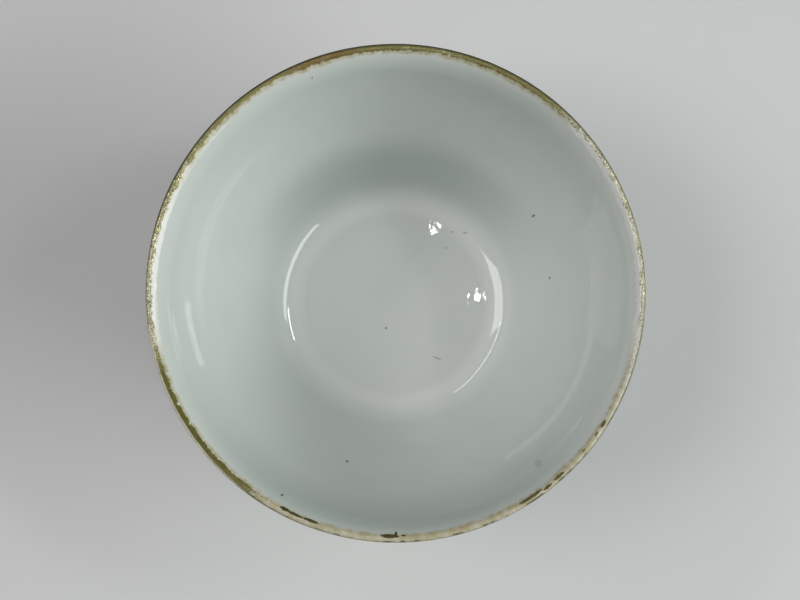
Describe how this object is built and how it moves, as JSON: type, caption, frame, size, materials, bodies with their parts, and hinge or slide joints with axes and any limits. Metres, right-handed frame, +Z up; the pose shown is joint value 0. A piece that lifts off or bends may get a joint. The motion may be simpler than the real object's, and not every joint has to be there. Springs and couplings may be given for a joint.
{
  "type": "famille rose cup",
  "caption": "Thrown and glazed porcelain cup with rounded sides, an everted gilt lip, a flat round well inside and a turned foot ring.",
  "frame": {"origin": "on the cup's axis, in the plane that the foot ring stands on", "axes": "+Z up along the cup's axis of revolution, out of its mouth; +X to the picture's right and +Y to its top"},
  "size_m": [0.095, 0.095, 0.05],
  "materials": {
    "glazed_porcelain": "glossy pale green-white glaze, with a worn gilt lip, overglaze enamel flowers outside and a bare biscuit foot rim"
  },
  "bodies": {
    "root": {"porcelain_cup": "glazed_porcelain"}
  },
  "joints": []
}
